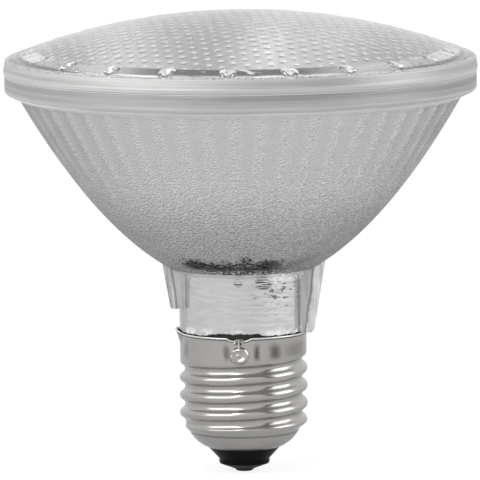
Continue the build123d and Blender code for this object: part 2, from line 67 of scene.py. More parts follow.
# Reflector
Z_SPIGOT, Z_FLOOR, Z_NECK, Z_BOWL = 25.3, 27.8, 29.7, 41.23
SPIGOT_R, SPIGOT_CHAMFER = 12.2, 0.4
NECK_R, NECK_FILLET, NECK_EDGE_FADE, NECK_BORE_R, FLOOR_CHAMFER = 13.05, 3.4, 2.0, 10.0, 0.3
FOCAL, Z_VERTEX, BOWL_FOOT_R, BOWL_R, Z_BOWL_TOP = 13.0, 37.955, 15.0, 45.232, 77.3
MIRROR_FOCAL, Z_MIRROR, MIRROR_R = 11.303, 39.652, 43.74
FLANGE_R, FLANGE_RISE, Z_FLANGE, FLANGE_BORE_R, LIP_LINE_R = 48.25, 1.5, 81.972, 43.9, 46.8
FLUTES, FLUTE_SIDES, FLUTE_DEPTH, Z_FLUTES = 51, 10, 0.32, 57.972
NECK_ROWS, BOWL_ROWS, MIRROR_ROWS = 30, 66, 30
LUG_TAPER, LUG_HALF = 0.17, 5.5
LONG_LUG, LONG_LUG_REACH, LONG_LUG_CORNER = 11.7, 3.45, 1.3
SHORT_LUG, SHORT_LUG_REACH, SHORT_LUG_CORNER = 6.9, 2.9, 0.5

# Seal and lens
SEAL_BORE_R, SEAL_GAP, SEAL_INSET = 44.9, 0.03, 0.04
Z_LENS, LENS_R, LENS_RIM, LENS_DRAFT, LENS_FOOT = 82.272, 48.5, 4.1, 0.4, 0.8
LENS_CHAMFER, GROUND_WIDTH = 0.25, 1.6
DOME_R, LENS_THICKNESS, Z_DOME, DOME_ROWS = 130.0, 3.2, -35.262, 8
PIPS, PIP_R, PIP_LENGTH, PIP_DROP, PIP_PHASE = 22, 1.375, 3.4, 0.9, -93.4
PIP_GAP, PIP_ROWS = 0.3, 10
LENSLET_A, LENSLET_B, LENSLET_R, LENSLET_SAG = (0.27, -2.88), (2.26, 1.75), 1.0, 0.08
PATTERN_R, PATTERN_FADE, PATTERN_GRID = 40.2, 2.0, 240

# Material numbers on the reflector, the lens and the shell
BOWL, FLANGE, NECK, MIRROR, SPIGOT, LUG = range(6)
CLEAR, RIM, FOOT, GROUND, PATTERN = range(5)
PLATE, EDGE, CREASE = range(3)

GLASS_IOR = 1.47
TINY = 1e-6


def smooth(value, start, length):
    """Smooth step from 0 at start to 1 a length further on."""
    t = np.clip((value - start) / length, 0.0, 1.0)
    return t * t * (3 - 2 * t)


def rounded(*corners, steps=5):
    """Profile through (r, z, fillet) corners, with each corner rounded."""
    points = []
    for k, (r, z, fillet) in enumerate(corners):
        here = np.array((r, z))
        if not fillet or k in (0, len(corners) - 1):
            points.append(here)
            continue
        before, after = (np.array(corners[k + d][:2]) - here for d in (-1, 1))
        u, v = before / np.linalg.norm(before), after / np.linalg.norm(after)
        half = math.acos(np.clip(u @ v, -1, 1)) / 2
        # Two fillets share a side, so each takes less than half of it
        room = [0.49 * np.linalg.norm(side) for side in (before, after)]
        reach = min(fillet / math.tan(half), *room)
        start, end = here + u * reach, here + v * reach
        for s in np.linspace(0, 1, steps):
            points.append((1 - s) ** 2 * start + 2 * s * (1 - s) * here + s * s * end)
    return points


def around(count):
    """Angles of a whole turn, in radians."""
    return np.arange(count) * TURN / count


def circle(angle, r, z):
    """Points at the angles. r and z are single numbers or have one value for each angle."""
    return np.stack([r * np.cos(angle), r * np.sin(angle), np.broadcast_to(z, angle.shape)], 1)


def ring(r, z, count):
    """Circle of points, or the single point on the axis."""
    if np.max(r) < TINY:
        return np.array([[0.0, 0.0, np.mean(z)]])
    return circle(around(count), r, z)


def skin(rings, closed=False, marks=None):
    """Vertices, faces and face marks of a surface over rings, outside up and inside down."""
    starts = np.cumsum([0] + [len(r) for r in rings])
    faces, kinds = [], []
    for k in range(len(rings) - (0 if closed else 1)):
        nxt = (k + 1) % len(rings)
        a, b, na, nb = starts[k], starts[nxt], len(rings[k]), len(rings[nxt])
        n = max(na, nb)
        i = np.arange(n)
        j = (i + 1) % n
        if na == 1 and nb == 1:
            continue
        if na == 1:
            new = [(a, b + q, b + p) for p, q in zip(i, j)]
        elif nb == 1:
            new = [(a + p, a + q, b) for p, q in zip(i, j)]
        else:
            new = list(zip(a + i, a + j, b + j, b + i))
        faces += [tuple(int(x) for x in f) for f in new]
        kinds.append(np.broadcast_to(0 if marks is None else marks[k], n))
    return np.concatenate(rings), faces, np.concatenate(kinds)


def piece(name, verts, faces, kinds, materials, slot, *nodes, sharp=40):
    """Object of the part from a mesh in millimetres."""
    mesh = bpy.data.meshes.new(name)
    mesh.from_pydata((np.asarray(verts) * MM).tolist(), [], faces)
    for material in materials:
        mesh.materials.append(material)
    mesh.polygons.foreach_set("material_index", np.asarray(kinds, dtype=np.int32))
    mesh.shade_smooth()
    mesh.set_sharp_from_angle(angle=math.radians(sharp))
    mesh.update()
    obj = bpy.data.objects.new(name, mesh)
    bpy.context.scene.collection.objects.link(obj)
    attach(obj, "root")
    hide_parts(*nodes)


# Materials


class Nodes:
    """Node tree with short helpers. A value is a number or another node's output."""

    def __init__(self, owner):
        owner.use_nodes = True
        self.nodes, self.links = owner.node_tree.nodes, owner.node_tree.links

    def add(self, kind, **settings):
        node = self.nodes.new(kind)
        for key, value in settings.items():
            setattr(node, key, value)
        return node

    def wire(self, value, socket):
        if isinstance(value, bpy.types.NodeSocket):
            self.links.new(value, socket)
        else:
            socket.default_value = value

    def math(self, kind, a, b=0.0):
        node = self.add("ShaderNodeMath", operation=kind)
        self.wire(a, node.inputs[0])
        self.wire(b, node.inputs[1])
        return node.outputs[0]

    def product(self, first, *others):
        for value in others:
            first = self.math("MULTIPLY", first, value)
        return first

    def largest(self, first, *others):
        for value in others:
            first = self.math("MAXIMUM", first, value)
        return first

    def away(self, value, place):
        """Distance of a value from a place."""
        return self.math("ABSOLUTE", self.math("SUBTRACT", value, place))

    def span(self, value, low, high, to_low=0.0, to_high=1.0):
        """Smooth change from to_low at low to to_high at high."""
        node = self.add("ShaderNodeMapRange", interpolation_type="SMOOTHSTEP")
        self.wire(value, node.inputs["Value"])
        for key, number in zip(("From Min", "From Max", "To Min", "To Max"), (low, high, to_low, to_high)):
            node.inputs[key].default_value = number
        return node.outputs["Result"]

    def blend(self, share, a, b):
        """Number between a and b."""
        node = self.add("ShaderNodeMix", data_type="FLOAT")
        self.wire(share, node.inputs["Factor"])
        self.wire(a, node.inputs[2])
        self.wire(b, node.inputs[3])
        return node.outputs[0]


class Shader(Nodes):
    """Material on the object's own coordinates."""

    def __init__(self, name):
        self.material = bpy.data.materials.new(name)
        super().__init__(self.material)
        self.bsdf = self.nodes["Principled BSDF"]
        self.place = self.add("ShaderNodeTexCoord").outputs["Object"]

    def set(self, **values):
        for key, value in values.items():
            self.wire(value, self.bsdf.inputs[key.replace("_", " ")])

    def axis(self, name):
        node = self.add("ShaderNodeSeparateXYZ")
        self.links.new(self.place, node.inputs[0])
        return node.outputs[name]

    def stretched(self, x, y, z, shift=(0, 0, 0)):
        node = self.add("ShaderNodeMapping")
        node.inputs["Scale"].default_value = (x, y, z)
        node.inputs["Location"].default_value = shift
        self.links.new(self.place, node.inputs["Vector"])
        return node.outputs["Vector"]

    def noise(self, scale, detail=3.0, rough=0.55, vector=None):
        node = self.add("ShaderNodeTexNoise")
        node.inputs["Scale"].default_value = scale
        node.inputs["Detail"].default_value = detail
        node.inputs["Roughness"].default_value = rough
        self.links.new(vector or self.place, node.inputs["Vector"])
        return node.outputs["Fac"]

    def cells(self, scale, feature="SMOOTH_F1"):
        node = self.add("ShaderNodeTexVoronoi", feature=feature)
        node.inputs["Scale"].default_value = scale
        self.links.new(self.place, node.inputs["Vector"])
        return node.outputs["Distance"]

    def shaken(self, value, noise, amount):
        """Value moved to both sides by a noise."""
        return self.math("ADD", value, self.product(self.math("SUBTRACT", noise, 0.5), amount))

    def mix(self, share, a, b):
        """Colour between a and b."""
        node = self.add("ShaderNodeMix", data_type="RGBA")
        self.wire(share, node.inputs["Factor"])
        for value, socket in ((a, node.inputs[6]), (b, node.inputs[7])):
            self.wire(value if isinstance(value, bpy.types.NodeSocket) else (*value, 1.0), socket)
        return node.outputs[2]

    def bump(self, height, depth, strength=1.0):
        """Normal of a relief that is so many millimetres deep."""
        node = self.add("ShaderNodeBump")
        node.inputs["Distance"].default_value = depth * MM
        node.inputs["Strength"].default_value = strength
        self.links.new(height, node.inputs["Height"])
        return node.outputs["Normal"]

    def shader_mix(self, share, a, b):
        node = self.add("ShaderNodeMixShader")
        for value, socket in zip((share, a, b), node.inputs):
            self.links.new(value, socket)
        return node.outputs[0]

    def glow(self, strength, grey):
        """White light of its own and a grey that takes shadows."""
        light = self.add("ShaderNodeEmission")
        light.inputs["Strength"].default_value = strength
        face = self.add("ShaderNodeBsdfDiffuse")
        face.inputs["Color"].default_value = (grey, grey, grey, 1)
        both = self.add("ShaderNodeAddShader")
        self.links.new(light.outputs[0], both.inputs[0])
        self.links.new(face.outputs[0], both.inputs[1])
        return both.outputs[0]


def clear_glass(name, ior=GLASS_IOR, grain=0.02, tint=0.98):
    """Polished glass with slight ripples."""
    s = Shader(name)
    s.set(Base_Color=(tint, tint, tint, 1), Transmission_Weight=1.0, IOR=ior)
    s.set(Roughness=s.span(s.noise(420, 3), 0.35, 0.75, 0.0, grain))
    s.set(Normal=s.bump(s.noise(160, 2), 0.03))
    return s.material


def pattern_glass():
    """Inner face of the lens: polished crowns on matt glass, over the same lattice as the mesh."""
    s = Shader("lens_pattern")
    x, y = s.axis("X"), s.axis("Y")
    inverse = np.linalg.inv(np.stack([LENSLET_A, LENSLET_B], 1)) / MM * TURN
    u, v = (s.math("ADD", s.product(x, float(row[0])), s.product(y, float(row[1]))) for row in inverse)
    waves = [s.math("COSINE", angle) for angle in (u, v, s.math("SUBTRACT", u, v))]
    crown = s.span(s.math("ADD", s.math("ADD", waves[0], waves[1]), waves[2]), 0.9, 2.2)
    s.set(Base_Color=s.mix(crown, (0.86, 0.86, 0.86), (1.0, 1.0, 1.0)))
    s.set(Transmission_Weight=1.0, IOR=GLASS_IOR)
    s.set(Roughness=s.blend(crown, 0.42, 0.12), Metallic=s.span(crown, 0.0, 1.0, 0.0, 0.8))
    return s.material


def bowl_glass():
    """Aluminised bowl: satin silver under stippled glass, fluted above, with painted relief shading in the
    stipple, painted shade towards the foot and in the flute hollows, a patchy black painted dark reflection
    at its foot with painted sparkle specks, and painted light under the flange.
    """
    s = Shader("bowl_silver")
    x, y, z = s.axis("X"), s.axis("Y"), s.axis("Z")
    # Flutes with stippled ridges
    turn = s.product(s.math("ARCTAN2", y, x), FLUTES / TURN)
    across = s.away(s.math("FRACT", turn), 0.5)
    fluted = s.span(z, 0.054, 0.072)
    ridge = s.span(across, 0.2, 0.4)
    stippled = s.blend(fluted, 1.0, s.span(ridge, 0.0, 1.0, 0.36, 0.74))
    # Painted relief shading: the stipple's noise less a shifted copy gives light and dark flecks
    grain, beside = (s.noise(2900, 1, 0.5, s.stretched(0.8, 0.8, 1.15, shift))
                     for shift in ((0, 0, 0), (0.00003, 0, -0.00011)))
    painted_relief = s.blend(stippled, 0.5, s.span(s.math("SUBTRACT", beside, grain), -0.13, 0.13))
    # Painted shade: darker towards the foot
    shade = s.mix(s.span(z, 0.062, 0.05), (0.46, 0.462, 0.465), (0.38, 0.382, 0.385))
    tint = s.mix(painted_relief, shade, (0.86, 0.86, 0.855))
    # Painted shade in the flute hollows
    hollow = s.product(fluted, s.span(across, 0.36, 0.1, 0.0, 0.15))
    tint = s.mix(hollow, tint, (0.42, 0.422, 0.425))
    # Painted light on the underside of the flange, and a painted highlight line along it
    slant = s.span(z, 0.0771, 0.0775)
    tint = s.mix(s.product(slant, 0.95), tint, (0.81, 0.81, 0.805))
    tint = s.mix(s.span(z, 0.0778, 0.0780), tint, (0.9, 0.9, 0.895))
    # Painted shade darker towards the foot, and at the foot a patchy black painted dark reflection, lighter
    # on the right side, with painted sparkle specks below it
    tint = s.mix(s.span(z, 0.064, 0.048, 0.0, 0.3), tint, (0.2, 0.2, 0.2))
    patch, speck = s.noise(260, 3), s.noise(1700, 2)
    between_lugs = s.span(s.math("ABSOLUTE", y), 0.0118, 0.0152)
    light = s.product(s.span(speck, 0.54, 0.62), s.span(z, 0.0442, 0.0432), between_lugs)
    tint = s.mix(light, tint, (0.95, 0.95, 0.945))
    ragged = s.shaken(s.shaken(z, patch, 0.005), s.noise(1400, 2), 0.0045)
    foot = s.product(s.span(ragged, 0.0462, 0.0447), between_lugs)
    uneven = s.product(s.span(s.noise(150, 2), 0.35, 0.6, 0.88, 1.0), s.span(x, 0.004, 0.011, 1.0, 0.4))
    holes = s.blend(s.span(z, 0.0427, 0.0439), s.span(speck, 0.56, 0.47), 1.0)
    dark = s.product(foot, uneven, s.span(speck, 0.36, 0.56, 0.72, 1.0), holes)
    s.set(Base_Color=s.mix(dark, tint, (0.008, 0.008, 0.008)))
    s.set(Metallic=0.9, Specular_Tint=(0.3, 0.3, 0.3, 1), Coat_Weight=0.12, Coat_Roughness=0.2)
    s.set(Roughness=s.blend(slant, s.span(patch, 0.3, 0.7, 0.36, 0.46), 0.75))
    s.set(Normal=s.bump(s.product(grain, stippled), 0.3, 0.8))
    return s.material


def edge_glass(name, grey, *changes):
    """Pressed glass edge: level streaks over a grey that changes at heights, as (z in mm, new grey), with
    painted light making the left side lighter.
    """
    s = Shader(name)
    streak = s.noise(34, 4, 0.6, s.stretched(0.5, 0.5, 30))
    thin = s.noise(60, 3, 0.6, s.stretched(0.35, 0.35, 60))
    level = s.math("ADD", s.product(streak, 0.6), s.product(thin, 0.4))
    uneven = s.shaken(s.axis("Z"), s.noise(70, 2), 0.0008)
    soft = 0.15 * MM
    for height, tone in changes:
        grey = s.blend(s.span(uneven, height * MM - soft, height * MM + soft), grey, tone)
    # Painted light: lighter towards the left side
    grey = s.product(grey, s.span(level, 0.36, 0.64, 0.85, 1.15), s.span(s.axis("X"), -0.03, 0.0, 1.15, 1.0))
    s.set(Base_Color=s.mix(grey, (0, 0, 0), (1, 1, 0.99)), Metallic=0.5)
    s.set(Roughness=s.span(streak, 0.3, 0.7, 0.4, 0.55), Coat_Weight=0.15, Coat_Roughness=0.25)
    s.set(Normal=s.bump(level, 0.3, 0.4))
    return s.material


def ground_glass():
    """Ground ring round the top of the lens's edge: white grains in clear glass."""
    s = Shader("lens_grain")
    grain = s.noise(1500, 2)
    s.set(Base_Color=s.mix(s.span(grain, 0.35, 0.6), (0.6, 0.6, 0.6), (1.0, 1.0, 1.0)))
    s.set(Transmission_Weight=0.65, IOR=GLASS_IOR)
    s.set(Roughness=s.span(s.noise(420, 3), 0.35, 0.75, 0.05, 0.25), Normal=s.bump(grain, 0.2))
    return s.material


def grainy_glass():
    """Foot of the lens as seen through its edge: sparkling grains."""
    s = Shader("lens_foot")
    grain = s.cells(1500, "F1")
    s.set(Base_Color=s.mix(s.span(grain, 0.25, 0.6), (0.97, 0.97, 0.96), (0.7, 0.7, 0.7)), Metallic=1.0)
    s.set(Roughness=s.span(grain, 0.2, 0.7, 0.2, 0.5), Normal=s.bump(grain, 0.06))
    return s.material


def neck_glass():
    """Silvered neck: level dashes, dark flaws in front, a duller band beside each lug, painted light on its
    right side, bright wear at its lower edge and painted sparkle highlights at its top right.
    """
    s = Shader("neck_silver")
    x, y, z = s.axis("X"), s.axis("Y"), s.axis("Z")
    dashes = s.noise(300, 3, 0.6, s.stretched(0.8, 0.8, 5.0))
    tint = s.mix(s.span(dashes, 0.36, 0.66), (0.59, 0.59, 0.595), (0.67, 0.67, 0.665))
    # Painted light: lighter on the right side
    right = s.product(s.span(x, 0.0015, 0.0065), s.span(dashes, 0.4, 0.6, 0.2, 0.8))
    tint = s.mix(right, tint, (0.8, 0.8, 0.795))

    def oval(place, height, wide, tall):
        squares = [s.math("POWER", s.product(s.math("SUBTRACT", value, centre), 1 / size), 2.0)
                   for value, centre, size in ((x, place, wide), (z, height, tall))]
        return s.span(s.math("ADD", *squares), 1.3, 0.3)

    flaw = s.span(s.noise(560, 2, 0.5, s.stretched(0.4, 0.4, 7.0)), 0.43, 0.51)
    patches = s.largest(oval(-0.0010, 0.0404, 0.0010, 0.0009), oval(0.0043, 0.0403, 0.0019, 0.0015))
    scatter = s.product(s.span(x, 0.0005, 0.005), s.span(z, 0.0315, 0.0375))
    few = s.span(s.noise(800, 2, 0.5, s.stretched(0.7, 0.7, 2.4)), 0.58, 0.63)
    dark = s.largest(s.product(patches, flaw), s.product(scatter, few, 0.75))
    tint = s.mix(s.product(dark, s.span(y, 0.0, -0.004)), tint, (0.03, 0.03, 0.032))
    upright = s.noise(700, 2, 0.5, s.stretched(1.3, 1.3, 0.05))
    beside = s.largest(s.span(x, 0.0102, 0.0108), s.span(x, -0.0110, -0.0118))
    tint = s.mix(s.product(beside, s.span(upright, 0.3, 0.7, 0.35, 1.0)), tint, (0.42, 0.422, 0.42))
    low_wear = s.product(s.span(z, 0.0312, 0.0298), s.span(s.noise(520, 3), 0.46, 0.6))
    # Painted sparkle highlights at the top right of the neck
    sparkle_grain = s.span(s.noise(1300, 2), 0.44, 0.56)
    top_sparkle = s.product(s.span(z, 0.0400, 0.0410), s.span(x, 0.004, 0.0065), sparkle_grain)
    s.set(Base_Color=s.mix(s.largest(low_wear, top_sparkle), tint, (0.97, 0.97, 0.96)))
    s.set(Metallic=s.span(z, 0.0402, 0.0414, 0.85, 0.4), Coat_Weight=0.4, Coat_Roughness=0.05)
    s.set(Roughness=s.span(dashes, 0.3, 0.7, 0.1, 0.2), Normal=s.bump(dashes, 0.09, 0.5))
    return s.material


def lug_glass():
    """Clear wings of the neck: pale glass with upright streaks, and a crease where they leave the neck."""
    s = Shader("lug_glass")
    x = s.axis("X")
    streak = s.noise(800, 3, 0.6, s.stretched(1.0, 1.0, 0.06))
    ripple = s.noise(300, 3)
    level = s.math("ADD", s.product(streak, 0.75), s.product(ripple, 0.25))
    lean, crease_at = 0.14, 0.0086
    out = s.math("SUBTRACT", s.math("ABSOLUTE", x), s.product(s.axis("Z"), lean))
    out = s.shaken(out, ripple, 0.0008)
    pale = s.mix(s.span(x, -0.005, 0.005), (0.62, 0.622, 0.62), (0.8, 0.803, 0.8))
    pale = s.mix(s.span(out, crease_at + 0.0001, crease_at - 0.0001), pale, (0.5, 0.502, 0.5))
    tint = s.mix(s.span(level, 0.32, 0.62), (0.3, 0.302, 0.3), pale)
    crease = s.span(s.away(out, crease_at), 0.00032, 0.0001, 0.0, 0.7)
    s.set(Base_Color=s.mix(crease, tint, (0.12, 0.122, 0.12)), Metallic=0.3)
    s.set(Roughness=s.span(ripple, 0.3, 0.7, 0.08, 0.2), Coat_Weight=0.7, Coat_Roughness=0.04)
    s.set(Normal=s.bump(level, 0.6, 0.7))
    return s.material


def mirror():
    """Silvered inside of the bowl, dull at its mouth, with a painted dark reflection there in front and
    behind.
    """
    s = Shader("mirror_silver")
    dull = s.span(s.axis("Z"), 0.0776, 0.0784)
    silver = s.mix(s.noise(90, 2), (0.78, 0.785, 0.79), (0.85, 0.85, 0.85))
    # Painted dark reflection: near black at the mouth in front and behind, silver at the sides
    side = s.away(s.axis("X"), -0.002)
    grey = s.mix(s.span(side, 0.013, 0.029), (0.03, 0.03, 0.03), (0.95, 0.95, 0.95))
    s.set(Base_Color=s.mix(dull, silver, grey), Metallic=1.0)
    s.set(Roughness=s.blend(dull, s.span(s.noise(300, 2), 0.3, 0.7, 0.06, 0.12), 0.55))
    return s.material


def nickel():
    """Nickel plate with faint drawing lines, a few painted dark reflections in upright bands on the skirt's
    front, slightly darker on the cup and painted shade in the crease round the cup.
    """
    s = Shader("nickel_plate")
    z, wear = s.axis("Z"), s.noise(220, 4)
    x = s.shaken(s.axis("X"), s.noise(420, 3), 0.0012)
    draw = s.noise(500, 3, 0.6, s.stretched(0.2, 0.2, 2.5))
    # Painted dark reflections on the skirt's front: (place, half width, strength)
    painted_reflection_bands = ((-0.0034, 0.0008, 0.7), (0.0027, 0.0008, 0.9), (0.0064, 0.0014, 0.85), (0.0105, 0.0032, 0.45),
              (-0.0116, 0.0006, 0.35))
    reflection_mask = s.largest(*(s.span(s.away(x, place), wide * 1.3, 0.0, 0.0, share)
                        for place, wide, share in painted_reflection_bands))
    front = s.span(s.axis("Y"), 0.0, -0.003)
    on_skirt = s.product(s.span(z, 0.0238, 0.0254), s.span(z, 0.0286, 0.0264), front)
    tint = s.mix(wear, (0.44, 0.43, 0.42), (0.50, 0.49, 0.48))
    tint = s.mix(s.span(z, 0.0095, 0.0075, 0.0, 0.1), tint, (0.28, 0.275, 0.27))
    # Painted shade: a dark line in the crease round the cup
    crease = s.span(s.away(z, 0.0084), 0.00035, 0.0001, 0.0, 0.55)
    tint = s.mix(crease, tint, (0.1, 0.097, 0.094))
    s.set(Base_Color=s.mix(s.product(reflection_mask, on_skirt, 0.9), tint, (0.06, 0.055, 0.05)), Metallic=1.0)
    s.set(Roughness=s.span(draw, 0.3, 0.7, 0.17, 0.25), Normal=s.bump(wear, 0.02, 0.6))
    return s.material


def rim_painted_highlight():
    """Cut edge of the plate, painted bright as a highlight line, and scratched."""
    s = Shader("shell_edge")
    scratch = s.noise(900, 3, 0.6, s.stretched(0.3, 0.3, 2.0))
    s.set(Base_Color=s.mix(scratch, (0.6, 0.59, 0.58), (0.92, 0.91, 0.9)), Metallic=0.7)
    s.set(Roughness=s.span(scratch, 0.3, 0.7, 0.25, 0.4), Normal=s.bump(scratch, 0.03, 0.5))
    return s.material


def black_glass():
    """Mottled black glass of the insulator."""
    s = Shader("insulator_black")
    mottle = s.noise(350, 3)
    s.set(Base_Color=s.mix(mottle, (0.002, 0.002, 0.0025), (0.007, 0.007, 0.008)), Specular_IOR_Level=0.06)
    s.set(Roughness=s.span(mottle, 0.3, 0.7, 0.12, 0.28), Normal=s.bump(mottle, 0.05, 0.6))
    return s.material


def dark_metal():
    """Contact disc, painted near black for the dark reflection of its underside."""
    s = Shader("contact_dark")
    dark_mottle = s.noise(400, 3)
    s.set(Base_Color=s.mix(dark_mottle, (0.02, 0.0195, 0.019), (0.055, 0.053, 0.051)), Metallic=0.9)
    s.set(Roughness=s.span(dark_mottle, 0.3, 0.7, 0.3, 0.45), Normal=s.bump(dark_mottle, 0.04, 0.6))
    return s.material


def solder(name, low, high):
    """Grainy solder between two greys."""
    s = Shader(name)
    grain = s.cells(900)
    s.set(Base_Color=s.mix(s.noise(500, 3), low, high), Metallic=1.0)
    s.set(Roughness=s.span(grain, 0.2, 0.7, 0.12, 0.3), Normal=s.bump(grain, 0.12, 0.6))
    return s.material


def cement():
    """Gritty cement, dark, and painted near black for the shade in the gap under the neck."""
    s = Shader("cement")
    grit = s.noise(1200, 4)
    s.set(Base_Color=s.mix(grit, (0.012, 0.012, 0.011), (0.06, 0.057, 0.053)))
    s.set(Roughness=s.span(grit, 0.3, 0.7, 0.6, 0.9), Normal=s.bump(grit, 0.2))
    return s.material


def plain_metal(name, low, high, rough):
    """Mottled metal between two colours."""
    s = Shader(name)
    grain = s.noise(800, 3)
    s.set(Base_Color=s.mix(grain, low, high), Metallic=1.0)
    s.set(Roughness=s.span(grain, 0.3, 0.7, rough, rough + 0.15))
    return s.material


def sealant():
    """Grey sealant."""
    s = Shader("seal_grey")
    grain = s.noise(500, 3)
    s.set(Base_Color=s.mix(grain, (0.5, 0.5, 0.5), (0.64, 0.64, 0.63)))
    s.set(Roughness=s.span(grain, 0.3, 0.7, 0.4, 0.6))
    return s.material


# Pieces


def thread_height(phase):
    """Height of the thread's round crests and roots over its root line."""
    arc = (THREAD_PITCH**2 / 4 + THREAD_DEPTH**2) / (4 * THREAD_DEPTH)
    off = np.abs(phase - np.floor(phase + 0.5)) * THREAD_PITCH
    crest = THREAD_DEPTH - arc + np.sqrt(np.maximum(arc**2 - off**2, 0))
    root = arc - np.sqrt(np.maximum(arc**2 - (THREAD_PITCH / 2 - off) ** 2, 0))
    return np.where(off <= THREAD_PITCH / 4, crest, root)


def shell_radius(angle, z):
    """Outside of the cup and the thread, whose groove runs out below the skirt."""
    below = np.maximum(Z_CUP_CENTRE - z, 0.0)
    cup = CUP_CENTRE_R + np.sqrt(CUP_ARC_R**2 - below**2)
    turns = (z - Z_THREAD - FIRST_CREST) / THREAD_PITCH
    past_end = (angle / TURN - GROOVE_TURNS) % 1.0
    over_groove = turns - GROOVE_TURNS + 0.5 - past_end
    filled = smooth(past_end, 1 - GROOVE_FADE, GROOVE_FADE)
    height = thread_height(turns - angle / TURN)
    height = np.where(over_groove > -0.5, height + (THREAD_DEPTH - height) * filled, height)
    height = np.where(over_groove > 0.5, THREAD_DEPTH, height)
    inset = SKIRT_INSET * smooth(over_groove + filled, 0.25, 0.25)
    return cup + (height - inset) * smooth(z, Z_THREAD, THREAD_LEAD_IN)


def on_tab(angle):
    """1 on the bent tab at -X, 0 elsewhere."""
    off = np.abs((np.degrees(angle) % 360) - 180)
    return smooth(-off, -(TAB_ANGLE + TAB_BLEND) / 2, TAB_BLEND)


def rim_height(angle):
    """Height of the shell's rim: a round dip by the solder, a raised tab at -X."""
    from_solder = (np.degrees(angle) - SOLDER_ANGLE + 180) % 360 - 180
    across = np.abs(from_solder) * math.pi / 180 * SKIRT_R
    dip = NOTCH_DEPTH - NOTCH_R + np.sqrt(np.maximum(NOTCH_R**2 - np.minimum(across, NOTCH_R) ** 2, 0))
    return Z_RIM - np.maximum(dip, 0) + on_tab(angle) * (TAB_HEIGHT - TAB_SLOT)


def rim_lean(angle, z):
    """Outward lean of the rim: a small flare, more on the tab."""
    flare = FLARE * smooth(z, Z_RIM - FLARE_HEIGHT, FLARE_HEIGHT)
    bent = TAB_LEAN * np.clip((z - Z_RIM + TAB_SLOT) / TAB_HEIGHT, 0, 1)
    return flare + on_tab(angle) * (bent - flare)


def screw_shell(materials):
    """Sheet metal shell: up the outside, over the rolled rim and down the inside."""
    angle = around(SHELL_SIDES)
    top = rim_height(angle)
    half = SHELL_WALL / 2

    def skirt_row(share, out):
        z = Z_SKIRT + (top - Z_SKIRT) * share
        return SKIRT_R + rim_lean(angle, z) + out, z

    rows = [(shell_radius(angle, z), z) for z in np.linspace(Z_LIP, Z_SKIRT, THREAD_ROWS)]
    rows += [skirt_row(share, 0.0) for share in np.linspace(SKIRT_START, BEAD_START, SKIRT_ROWS)]
    below_bead = len(rows) - 1
    rows += [skirt_row(share, out) for share, out in RIM_BEAD]
    r, z = rows[-1]
    rows += [(r - half + half * math.cos(turn), z + half * math.sin(turn))
             for turn in np.radians((30, 60, 90, 120, 150))]
    rows += [skirt_row(share, -SHELL_WALL) for share in np.linspace(1, SKIRT_START, SKIRT_BORE_ROWS)]
    rows += [(shell_radius(angle, z) - SHELL_WALL, z)
             for z in np.linspace(Z_SKIRT - 0.2, Z_LIP + INSULATOR_DEPTH, THREAD_BORE_ROWS)]
    rows += [(LIP_R, Z_LIP + SHELL_WALL), (LIP_R - 0.02, Z_LIP + 0.02)]
    # The crease under the rim's bead takes painted shade, and the rim's edge a painted highlight
    marks = [PLATE] * below_bead + [CREASE] * 3 + [EDGE] * 8
    marks += [PLATE] * (len(rows) - len(marks))
    mesh = skin([circle(angle, r, z) for r, z in rows], closed=True, marks=marks)
    piece("screw_shell", *mesh, materials, "shell_metal", "base_shell", sharp=60)


def solder_bead(material):
    """Dished bead of solder on the skirt, and a rough lump over the rim's dip."""
    verts, faces = [], []
    cos, sin = math.cos(math.radians(SOLDER_ANGLE)), math.sin(math.radians(SOLDER_ANGLE))
    for height, wide, tall, proud, dish, lumps in SOLDER_BEADS:
        ball = bmesh.new()
        bmesh.ops.create_icosphere(ball, subdivisions=4, radius=1.0)
        for v in ball.verts:
            d = v.co.normalized()
            off = math.hypot(d.y, d.z)
            lump = math.sin(5 * d.y + 2) * math.sin(4 * d.z + 1)
            lump += 0.7 * math.sin(11 * d.z + 8 * d.y) * math.sin(9 * d.y)
            depth = max(d.x, SOLDER_BACK) * (proud + lumps * (lump + math.cos(8 * off)))
            if d.x > 0:
                depth -= dish * float(smooth(-off, -0.75, 0.6))
            swell = 1 + lumps * lump * 0.4
            y, z = d.y * wide * swell, d.z * tall * swell
            x = SKIRT_R - SOLDER_SINK + depth - y * y / (2 * SKIRT_R)
            v.co = (x * cos - y * sin, x * sin + y * cos, z + height)
        ball.verts.index_update()
        base = len(verts)
        verts += [tuple(v.co) for v in ball.verts]
        faces += [tuple(v.index + base for v in f.verts) for f in ball.faces]
        ball.free()
    piece("solder_bead", verts, faces, np.zeros(len(faces)), [material], "solder", "side_solder")


def lathe(name, path, material, slot, *nodes, count=96, closed=False):
    """Turned piece from a profile of (r, z) points."""
    mesh = skin([ring(r, z, count) for r, z in path], closed)
    piece(name, *mesh, [material], slot, *nodes)


def insulator_body(material):
    z_top = Z_LIP + INSULATOR_DEPTH
    path = rounded((0, Z_INSULATOR, 0), (INSULATOR_R, Z_INSULATOR, 0.25),
                   (INSULATOR_R, Z_INSULATOR + INSULATOR_STEP, 0.2), (LIP_R, Z_LIP, 0.1),
                   (LIP_R - 0.1, z_top, 0.1), (0, z_top, 0))
    lathe("insulator_body", path, material, "insulator_glass", "insulator")


def contact_disc(material):
    path = rounded((0, TIP_H, 0), (TIP_R + TIP_H, TIP_H, 0.2), (CONTACT_R, Z_INSULATOR - CONTACT_RIM, 0.25),
                   (CONTACT_R, Z_INSULATOR, 0.05), (0, Z_INSULATOR, 0))
    lathe("contact_disc", path, material, "contact_metal", "centre_contact")


